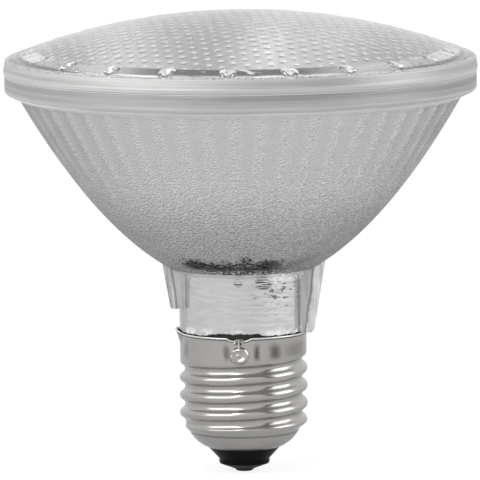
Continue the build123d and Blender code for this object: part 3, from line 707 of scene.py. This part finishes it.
def contact_tip(material):
    z_top = TIP_H + 0.02
    path = rounded((0, 0, 0), (TIP_R, 0, 0.3), (TIP_R + TIP_H, z_top, 0.1), (0, z_top, 0))
    lathe("contact_tip", path, material, "solder", "contact_solder")


def bowl_z(r):
    return Z_VERTEX + r * r / (4 * FOCAL)


def flange_z(r):
    """Underside of the flange."""
    slope = FLANGE_RISE / (FLANGE_R - BOWL_R)
    return Z_BOWL_TOP + slope * (r - BOWL_R)


def lug_radius(angle, z):
    """Polar outline of the two flat-faced lugs beside the neck, the long one at +X."""
    cos, sin = np.cos(angle), np.sin(angle)
    low = np.where(cos > 0, Z_BOWL - LONG_LUG, Z_BOWL - SHORT_LUG)
    corner = np.where(cos > 0, LONG_LUG_CORNER, SHORT_LUG_CORNER)
    cut = np.clip(1 - (z - low) / corner, 0, 1)
    reach = NECK_R + np.where(cos > 0, LONG_LUG_REACH, SHORT_LUG_REACH) + LUG_TAPER * (z - Z_BOWL)
    reach = reach - corner * (1 - np.sqrt(1 - cut**2))
    box = np.minimum(reach / np.maximum(np.abs(cos), TINY), LUG_HALF / np.maximum(np.abs(sin), TINY))
    return np.where(z >= low, box, 0.0)


def neck_edge(angle):
    """Uneven lower edge of the neck: on the shell's rim, but chipped in front and behind."""
    ripple = 0.06 * np.sin(23 * angle + 1.0) + 0.05 * np.sin(41 * angle) + 0.04 * np.sin(67 * angle + 2.0)
    chipped = smooth(np.abs(np.sin(angle + 0.12)), 0.86, 0.1)
    return ripple + 0.05 * chipped - 0.5 * (1 - chipped)


def reflector_rows():
    """Profile of the glass body: outside up, inside down. Each row is (r, z, kind)."""
    spigot = [(0.0, Z_SPIGOT), (SPIGOT_R - SPIGOT_CHAMFER, Z_SPIGOT), (SPIGOT_R, Z_SPIGOT + SPIGOT_CHAMFER),
              (SPIGOT_R, Z_NECK - 0.4)]
    # The neck starts with its rounded lower edge, and its rows lie closer there and at the short lug's foot
    neck = [(SPIGOT_R + 0.06, Z_NECK - 0.12), (NECK_R - 0.35, Z_NECK), (NECK_R - 0.1, Z_NECK + 0.15)]
    short_foot = Z_BOWL - SHORT_LUG
    heights = list(np.linspace(Z_NECK + 0.45, Z_BOWL - 1.3, NECK_ROWS))
    heights += [short_foot + step for step in (-0.01, 0.01, 0.04, 0.1, 0.2)]
    heights += [Z_NECK + step for step in (0.25, 0.35, 0.6)]
    neck += [(NECK_R, z) for z in sorted(heights)]
    neck += rounded((NECK_R, Z_BOWL - 1.2, 0), (NECK_R, Z_BOWL, NECK_FILLET),
                    (BOWL_FOOT_R, bowl_z(BOWL_FOOT_R), 0), steps=9)[1:-1]
    bowl = [(r, bowl_z(r)) for r in np.linspace(BOWL_FOOT_R, BOWL_R - 0.5, BOWL_ROWS)]
    bowl += rounded((BOWL_R - 0.4, Z_BOWL_TOP - 0.35, 0), (BOWL_R, Z_BOWL_TOP, 0.4),
                    (LIP_LINE_R, flange_z(LIP_LINE_R), 0))[1:]
    lip_r = LIP_LINE_R + 0.05
    flange = rounded((lip_r, flange_z(lip_r), 0), (FLANGE_R, Z_BOWL_TOP + FLANGE_RISE, 1.0),
                     (FLANGE_R, Z_FLANGE, 0.15), (FLANGE_BORE_R, Z_FLANGE, 0), steps=6)
    inside = [(r, Z_MIRROR + r * r / (4 * MIRROR_FOCAL))
              for r in np.linspace(MIRROR_R, NECK_BORE_R, MIRROR_ROWS)]
    inside += [(NECK_BORE_R, Z_FLOOR + FLOOR_CHAMFER), (NECK_BORE_R - FLOOR_CHAMFER, Z_FLOOR), (0.0, Z_FLOOR)]
    parts = (spigot, SPIGOT), (neck, NECK), (bowl, BOWL), (flange, FLANGE), (inside, MIRROR)
    return [(r, z, kind) for rows, kind in parts for r, z in rows]


def reflector_body(materials):
    """Pressed glass body with flutes, lugs and an uneven lower edge of the neck."""
    count = FLUTES * FLUTE_SIDES
    angle = around(count)
    phase = (angle * FLUTES / TURN) % 1.0
    hollow = 1 - (2 * phase - 1) ** 2
    rings, marks = [], []
    for r, z, kind in reflector_rows():
        radius = np.full(count, r)
        mark = np.full(count, kind)
        if kind == BOWL:
            radius = radius - FLUTE_DEPTH * np.clip((z - Z_FLUTES) / (Z_BOWL_TOP - Z_FLUTES), 0, 1) * hollow
        # The lugs leave out the neck's first row, which is hardly wider than the spigot
        if kind in (BOWL, NECK) and r > SPIGOT_R + 0.1:
            lug = lug_radius(angle, z)
            mark = np.where(lug > radius, LUG, mark)
            radius = np.maximum(radius, lug)
        if kind == NECK:
            z = z + neck_edge(angle) * smooth(-z, -Z_NECK - NECK_EDGE_FADE, NECK_EDGE_FADE)
        rings.append(ring(radius, z, count))
        marks.append(mark)
    piece("reflector_body", *skin(rings, marks=marks), materials, "aluminised_glass", "reflector", sharp=50)


def dome_z(radius, r):
    return Z_DOME + np.sqrt(radius**2 - r**2)


def lenslet(x, y):
    """How far the lens pattern stands out of the inner face."""
    a, b = np.array(LENSLET_A), np.array(LENSLET_B)
    inverse = np.linalg.inv(np.stack([a, b], 1))
    u = inverse[0, 0] * x + inverse[0, 1] * y
    v = inverse[1, 0] * x + inverse[1, 1] * y
    near = np.full(np.shape(x), 1e9)
    for du in (0, 1):
        for dv in (0, 1):
            cu, cv = np.floor(u) + du, np.floor(v) + dv
            near = np.minimum(near, (x - cu * a[0] - cv * b[0]) ** 2 + (y - cu * a[1] - cv * b[1]) ** 2)
    cap = LENSLET_SAG * np.maximum(1 - near / LENSLET_R**2, 0) ** 2
    return cap * smooth(-np.hypot(x, y), -PATTERN_R - PATTERN_FADE / 2, PATTERN_FADE)


def pip_depth(angle, r):
    """Round bosses under the edge of the dome."""
    step = 360 / PIPS
    off = (np.degrees(angle) - PIP_PHASE + step / 2) % step - step / 2
    across = np.radians(off) * r
    along = np.maximum(np.abs(r - LENS_R + LENS_RIM + PIP_LENGTH / 2) - PIP_LENGTH / 2 + PIP_R, 0)
    depth = np.sqrt(np.maximum(PIP_R**2 - across**2 - along**2, 0)) - PIP_R + PIP_DROP
    return np.maximum(depth, 0)


def disc_grid(radius, n):
    """Square grid pressed into a disc: x and y of its points."""
    t = np.linspace(-1, 1, n + 1)
    a, b = np.meshgrid(t, t, indexing="ij")
    wide = np.abs(a) > np.abs(b)
    with np.errstate(divide="ignore", invalid="ignore"):
        r = np.where(wide, a, b)
        phi = np.where(wide, math.pi / 4 * b / a, math.pi / 2 - math.pi / 4 * a / b)
    phi = np.nan_to_num(phi)
    return radius * r * np.cos(phi), radius * r * np.sin(phi)


def lens_body(materials):
    """Domed lens: a fine grid for the pattern, and rings for the pips, the edge and the outside."""
    n = PATTERN_GRID
    inner = DOME_R - LENS_THICKNESS
    bore, top_r = LENS_R - LENS_RIM, LENS_R - LENS_DRAFT
    patch_r = bore - PIP_LENGTH - PIP_GAP
    x, y = disc_grid(patch_r, n)
    z = dome_z(inner, np.hypot(x, y)) - lenslet(x, y)
    grid = np.stack([x, y, z], 2).reshape(-1, 3)
    index = np.arange((n + 1) ** 2).reshape(n + 1, n + 1)
    edge = np.concatenate([index[n, :n], index[n:0:-1, n], index[0, n:0:-1], index[:n, 0]])
    quads = np.stack([index[:-1, :-1], index[:-1, 1:], index[1:, 1:], index[1:, :-1]], 2).reshape(-1, 4)
    angle = np.arctan2(grid[edge, 1], grid[edge, 0])
    order = np.argsort(angle % TURN)
    edge, angle = edge[order], angle[order]

    rows = [(r, dome_z(inner, r) - pip_depth(angle, r))
            for r in np.linspace(patch_r + PIP_GAP, bore - LENS_CHAMFER, PIP_ROWS)]
    ground_r = top_r - GROUND_WIDTH
    wall = rounded((bore, dome_z(inner, bore) - LENS_CHAMFER, 0), (bore, Z_LENS, 0.3),
                   (LENS_R - LENS_CHAMFER, Z_LENS, 0.15), (LENS_R, Z_LENS + LENS_FOOT, 0.6),
                   (top_r, dome_z(DOME_R, top_r), 0.9), (ground_r, dome_z(DOME_R, ground_r), 0))
    # Bands of the wall: its bore and foot, its side, and the ground ring round its top
    marks = [CLEAR] * len(rows) + [FOOT] * 6 + [RIM] * (len(wall) - 11) + [GROUND] * 3
    rows += wall
    rows += [(r, dome_z(DOME_R, r)) for r in np.linspace(top_r - 3, 1.5, DOME_ROWS)]
    marks += [CLEAR] * (len(rows) - len(marks))
    rings = [circle(angle, r, z) for r, z in rows] + [np.array([[0, 0, Z_DOME + DOME_R]])]
    verts, faces, kinds = skin(rings, marks=marks)

    base = len(verts)
    faces += [tuple(int(i) + base for i in q) for q in quads]
    following = np.roll(np.arange(len(edge)), -1)
    faces += [(int(edge[k]) + base, int(edge[j]) + base, int(j), int(k)) for k, j in enumerate(following)]
    verts = np.concatenate([verts, grid])
    kinds = np.concatenate([kinds, np.full(len(faces) - len(kinds), PATTERN)])
    piece("lens_body", verts, faces, kinds, materials, "lens_glass", "lens", sharp=50)


def seal_ring(material):
    low, high, outer = Z_FLANGE + SEAL_GAP, Z_LENS - SEAL_GAP, FLANGE_R - SEAL_INSET
    path = rounded((SEAL_BORE_R, low, 0), (outer, low, 0.1), (outer, high, 0.1), (SEAL_BORE_R, high, 0))
    lathe("seal_ring", path, material, "seal", "lens_seal", count=256, closed=True)


def dress(material, *nodes):
    """New material on solids that keep their shape."""
    for node in nodes:
        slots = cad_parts[node].data.materials
        slots.clear()
        slots.append(material)


# Studio


def studio_floor():
    """Round pale floor: near white to the camera, with the part's shadow, and unseen from below."""
    radius, sides = 6.0, 96
    mesh = bpy.data.meshes.new("floor")
    mesh.from_pydata(ring(radius, 0.0, sides).tolist(), [], [tuple(range(sides))])
    floor = bpy.data.objects.new("floor", mesh)
    bpy.context.scene.collection.objects.link(floor)
    s = Shader("floor_white")
    s.set(Base_Color=(0.8, 0.8, 0.8, 1), Roughness=0.9)
    path = s.add("ShaderNodeLightPath").outputs
    mirrored = s.largest(path["Is Glossy Ray"], path["Is Transmission Ray"])
    seen = s.shader_mix(mirrored, s.bsdf.outputs[0], s.glow(0.1, 0.6))
    seen = s.shader_mix(path["Is Camera Ray"], seen, s.glow(0.85, 0.2))
    clear = s.add("ShaderNodeBsdfTransparent").outputs[0]
    side = s.shader_mix(s.add("ShaderNodeNewGeometry").outputs["Backfacing"], seen, clear)
    s.links.new(side, s.nodes["Material Output"].inputs["Surface"])
    mesh.materials.append(s.material)


def studio_world():
    """White to the camera; to the part, soft white with one dim upright strip between the soft boxes."""
    world = bpy.data.worlds.new("studio")
    bpy.context.scene.world = world
    s = Nodes(world)
    place = s.add("ShaderNodeTexCoord").outputs["Generated"]
    toward_strip, across_strip = (0.766, -0.643, 0.0), (0.643, 0.766, 0.0)

    def along(direction):
        node = s.add("ShaderNodeVectorMath", operation="DOT_PRODUCT")
        s.links.new(place, node.inputs[0])
        node.inputs[1].default_value = direction
        return node.outputs["Value"]

    from_strip = s.math("ABSOLUTE", along(across_strip))
    other_side = s.math("LESS_THAN", along(toward_strip))
    light = s.span(s.math("ADD", from_strip, other_side), 0.09, 0.2, 0.1, 0.85)
    path = s.add("ShaderNodeLightPath").outputs
    seen = s.largest(path["Is Camera Ray"], path["Is Transmission Ray"])
    back = s.nodes["Background"].inputs
    back["Color"].default_value = (1, 1, 1, 1)
    s.wire(s.blend(seen, light, 1.0), back["Strength"])


def soft_box(name, place, width, height, power):
    """Rectangular lamp aimed at the middle of the part."""
    target = Vector((0, 0, 0.05))
    light = bpy.data.lights.new(name, "AREA")
    light.shape = "RECTANGLE"
    light.size, light.size_y, light.energy = width, height, power
    lamp = bpy.data.objects.new(name, light)
    lamp.location = place
    lamp.rotation_euler = (target - Vector(place)).to_track_quat("-Z", "Y").to_euler()
    bpy.context.scene.collection.objects.link(lamp)


def studio_camera():
    """Long lens a little above level, rolled slightly."""
    tilt, roll = math.radians(6.9), math.radians(-0.6)
    distance, target = 1.3, Vector((-0.00045, 0, 0.0477))
    data = bpy.data.cameras.new("camera")
    data.sensor_width, data.lens = 36.0, 475.6
    data.clip_start, data.clip_end = 0.05, 50.0
    camera = bpy.data.objects.new("camera", data)
    camera.location = target + Vector((0, -math.cos(tilt), math.sin(tilt))) * distance
    aim = (target - camera.location).to_track_quat("-Z", "Y")
    camera.rotation_euler = (aim @ Quaternion((0, 0, 1), roll)).to_euler()
    bpy.context.scene.collection.objects.link(camera)
    bpy.context.scene.camera = camera


bpy.context.scene.view_settings.view_transform = "Standard"

grit = cement()
# The flange's greys by height are painted light and shade bands, with a painted highlight band at its lower
# edge
flange_glass = edge_glass("flange_silver", 0.8, (78.4, 0.46), (79.5, 0.36), (80.7, 0.305), (81.75, 0.36))
lens_edge = edge_glass("lens_edge", 0.5, (83.6, 0.43))
# Near black metal for painted shade in the crease under the rim's bead
crease_painted_shade = plain_metal("crease_painted_shade", (0.05, 0.048, 0.045), (0.12, 0.115, 0.11), 0.3)
tungsten = plain_metal("tungsten", (0.3, 0.3, 0.31), (0.46, 0.46, 0.47), 0.3)
tinned_wire = plain_metal("tinned_wire", (0.5, 0.48, 0.45), (0.68, 0.66, 0.62), 0.25)

reflector_body([bowl_glass(), flange_glass, neck_glass(), mirror(), grit, lug_glass()])
lens_body([clear_glass("lens_clear", tint=0.92), lens_edge, grainy_glass(), ground_glass(), pattern_glass()])
screw_shell([nickel(), rim_painted_highlight(), crease_painted_shade])
solder_bead(solder("solder_bright", (0.28, 0.275, 0.27), (0.62, 0.61, 0.6)))
insulator_body(black_glass())
contact_disc(dark_metal())
# The contact's solder, painted near black for the dark reflection of the underside
contact_tip(solder("solder_painted_dark", (0.05, 0.05, 0.05), (0.12, 0.12, 0.12)))
seal_ring(sealant())
dress(grit, "base_cement")
dress(clear_glass("quartz", ior=1.46, grain=0.01), "capsule_bulb")
dress(tungsten, "filament", "filament_lead_short", "filament_lead_tall", "foil_live", "foil_return")
dress(tinned_wire, "pin_live", "pin_return", "ferrule_live", "ferrule_return", "live_wire", "return_wire")

studio_floor()
studio_world()
soft_box("box_left", (-0.95, -0.85, 0.65), 1.5, 0.9, 7.0)
soft_box("box_right", (1.13, -0.2, 0.55), 0.9, 0.9, 5.0)
soft_box("key", (-0.3, -0.8, 1.0), 0.2, 0.2, 2.5)
studio_camera()
